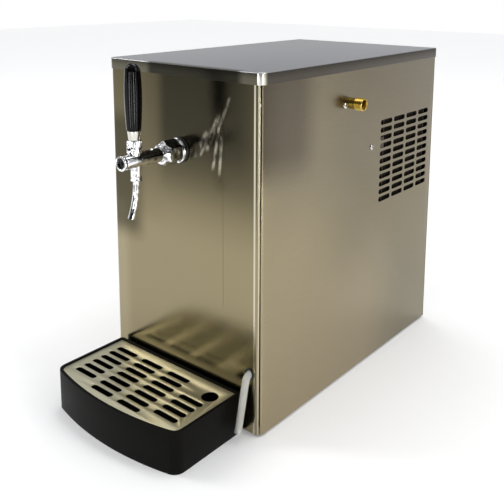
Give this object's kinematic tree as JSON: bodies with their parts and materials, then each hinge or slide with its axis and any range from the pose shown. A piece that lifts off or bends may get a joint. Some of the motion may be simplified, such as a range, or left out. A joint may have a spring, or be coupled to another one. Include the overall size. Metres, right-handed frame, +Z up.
{
  "type": "countertop water dispenser",
  "caption": "Countertop water cooler: brushed steel cabinet, lever tap with curved spout, side vents, threaded water inlet, drain hose and lift-out drip tray.",
  "frame": {"origin": "on the counter, under the middle of the whole outline; the cabinet's mid plane is at x = -9.5 mm and its cover's front face at y = -156.8 mm", "axes": "+Z up, -Y towards the user at the tap, +X towards the side with the water inlet and vents"},
  "size_m": [0.279, 0.5616, 0.448],
  "materials": {
    "brushed_panel": "brushed stainless sheet with warm reflections",
    "satin_cover": "satin stainless sheet with faint wipe marks",
    "plain_steel": "plain sheet steel, inner parts",
    "tap_chrome": "polished chrome plate",
    "screw_steel": "bright pan-head screws",
    "inlet_brass": "turned yellow brass",
    "black_rubber": "matt black rubber",
    "clear_hose": "clear soft PVC hose",
    "grip_black": "glossy black moulding",
    "tray_black": "slightly glossy black moulding",
    "plate_steel": "brushed stainless drip plate",
    "black_plastic": "black moulded plastic",
    "white_plastic": "white food-grade plastic",
    "foam": "rigid insulation foam, pale yellow",
    "copper_pipe": "copper refrigerant pipe",
    "fin_alloy": "thin aluminium fins",
    "black_enamel": "black enamelled steel",
    "zinc_steel": "zinc-plated steel"
  },
  "bodies": {
    "cabinet": {"base_pan": "plain_steel", "rubber_feet": "black_rubber", "foot_screws": "screw_steel", "front_panel": "brushed_panel", "side_panel_left": "brushed_panel", "side_panel_right": "brushed_panel", "rear_panel": "brushed_panel", "top_cover": "satin_cover", "panel_screws": "screw_steel", "side_screws": "screw_steel", "inlet_fitting": "inlet_brass", "inlet_nut": "inlet_brass", "inlet_bracket": "plain_steel", "hose_grommet": "black_rubber", "drain_hose": "clear_hose", "drain_tube": "clear_hose", "power_inlet": "black_plastic", "power_pins": "screw_steel", "thermostat": "black_plastic", "bath_insulation": "foam", "bath_liner": "plain_steel", "bath_lid": "foam", "evaporator_coil": "copper_pipe", "product_coil": "plain_steel", "agitator_motor": "zinc_steel", "supply_tube": "white_plastic", "feed_tube": "white_plastic", "compressor": "black_enamel", "compressor_mounts": "black_rubber", "start_relay": "black_plastic", "discharge_pipe": "copper_pipe", "suction_pipe": "copper_pipe", "condenser_tubes": "copper_pipe", "condenser_fins": "fin_alloy", "condenser_brackets": "zinc_steel", "fan_shroud": "black_enamel", "fan_motor": "zinc_steel", "flange_gasket": "black_rubber", "wall_flange": "tap_chrome", "tap_shank": "tap_chrome", "shank_nut": "tap_chrome", "coupling_nut": "tap_chrome", "tap_barrel": "tap_chrome", "barrel_cap": "tap_chrome", "tap_bonnet": "tap_chrome", "spout_tube": "tap_chrome"},
    "tap_handle": {"tap_lever": "tap_chrome", "lever_collar": "tap_chrome", "grip_ferrule": "tap_chrome", "handle_grip": "grip_black"},
    "tap_valve": {"valve_plunger": "screw_steel"},
    "tray": {"drip_tray": "tray_black"},
    "plate": {"drip_plate": "plate_steel"},
    "fan": {"fan_blade": "white_plastic"},
    "agitator": {"agitator_impeller": "white_plastic"},
    "knob": {"thermostat_knob": "black_plastic"}
  },
  "joints": [
    {"name": "handle_pull", "type": "hinge", "parent": "cabinet", "child": "tap_handle", "pos_m": [-0.0095, -0.2278, 0.345], "axis": [1, 0, 0], "range_deg": [0, 30]},
    {"name": "valve_shift", "type": "slide", "parent": "cabinet", "child": "tap_valve", "axis": [0, 1, 0], "range_m": [0, 0.0054]},
    {"name": "tray_pull", "type": "slide", "parent": "cabinet", "child": "tray", "axis": [0, -1, 0], "range_m": [0, 0.13]},
    {"name": "plate_lift", "type": "slide", "parent": "tray", "child": "plate", "axis": [0, 0, 1], "range_m": [0, 0.03]},
    {"name": "fan_spin", "type": "hinge", "parent": "cabinet", "child": "fan", "pos_m": [0.0771, 0.1792, 0.2907], "axis": [1, 0, 0], "continuous": true},
    {"name": "agitator_spin", "type": "hinge", "parent": "cabinet", "child": "agitator", "pos_m": [-0.0095, -0.0278, 0.2], "axis": [0, 0, 1], "continuous": true},
    {"name": "thermostat_turn", "type": "hinge", "parent": "cabinet", "child": "knob", "pos_m": [-0.0895, 0.2668, 0.37], "axis": [0, 1, 0], "range_deg": [0, 270]}
  ],
  "couplings": [
    {"joint": "valve_shift", "follows": "handle_pull", "m_per_rad": 0.01}
  ]
}
